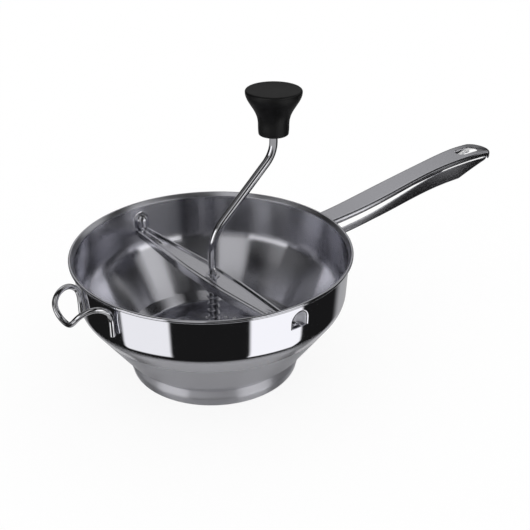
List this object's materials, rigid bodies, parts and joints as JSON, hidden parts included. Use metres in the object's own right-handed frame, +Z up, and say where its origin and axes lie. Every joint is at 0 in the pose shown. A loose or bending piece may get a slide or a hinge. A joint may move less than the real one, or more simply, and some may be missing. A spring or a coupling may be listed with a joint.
{
  "type": "food mill",
  "caption": "Hand-cranked food mill: steel bowl with latched crossbar, sprung scraper blade over a sieve disc, strap handle and pot hook.",
  "frame": {"origin": "on the bowl's axis in the plane that the foot ring stands on", "axes": "+Z up along the bowl's axis, +X along the handle"},
  "size_m": [0.4136, 0.2, 0.1997],
  "materials": {
    "bowl_steel": "polished outside, satin brushed inside",
    "disc_steel": "bright rolled sheet",
    "handle_steel": "brushed along its length",
    "wire_steel": "polished wire",
    "bar_steel": "satin pressed sheet",
    "turned_steel": "turned",
    "spring_wire": "bright drawn wire",
    "sleeve_nylon": "moulded nylon",
    "knob_plastic": "satin moulded phenolic"
  },
  "bodies": {
    "mill_body": {"bowl": "bowl_steel", "sieve_disc": "disc_steel", "handle": "handle_steel", "pot_hook": "wire_steel"},
    "crossbar_set": {"crossbar": "bar_steel", "bar_bush": "turned_steel"},
    "spring_seat": {"spring": "spring_wire", "spring_washer": "turned_steel"},
    "crank_set": {"crank_wire": "wire_steel", "blade_hub": "turned_steel", "hub_pin": "turned_steel", "blade": "disc_steel", "knob_sleeve": "sleeve_nylon", "knob_ring": "spring_wire"},
    "knob_set": {"knob_shell": "knob_plastic", "knob_cap": "knob_plastic"}
  },
  "joints": [
    {"name": "bar_press", "type": "slide", "parent": "mill_body", "child": "crossbar_set", "axis": [0, 0, -1], "range_m": [0, 0.006], "stiffness_N_per_m": 700, "springref_m": -0.014, "deforming": ["spring"]},
    {"name": "blade_lift", "type": "slide", "parent": "mill_body", "child": "spring_seat", "axis": [0, 0, 1], "range_m": [0, 0.005], "stiffness_N_per_m": 700, "springref_m": -0.014, "deforming": ["spring"]},
    {"name": "crank_turn", "type": "hinge", "parent": "spring_seat", "child": "crank_set", "pos_m": [0, 0, 0.1], "axis": [0, 0, 1], "continuous": true},
    {"name": "knob_spin", "type": "hinge", "parent": "crank_set", "child": "knob_set", "pos_m": [0.05153, -0.00524, 0.18], "axis": [0, 0, 1], "continuous": true}
  ]
}
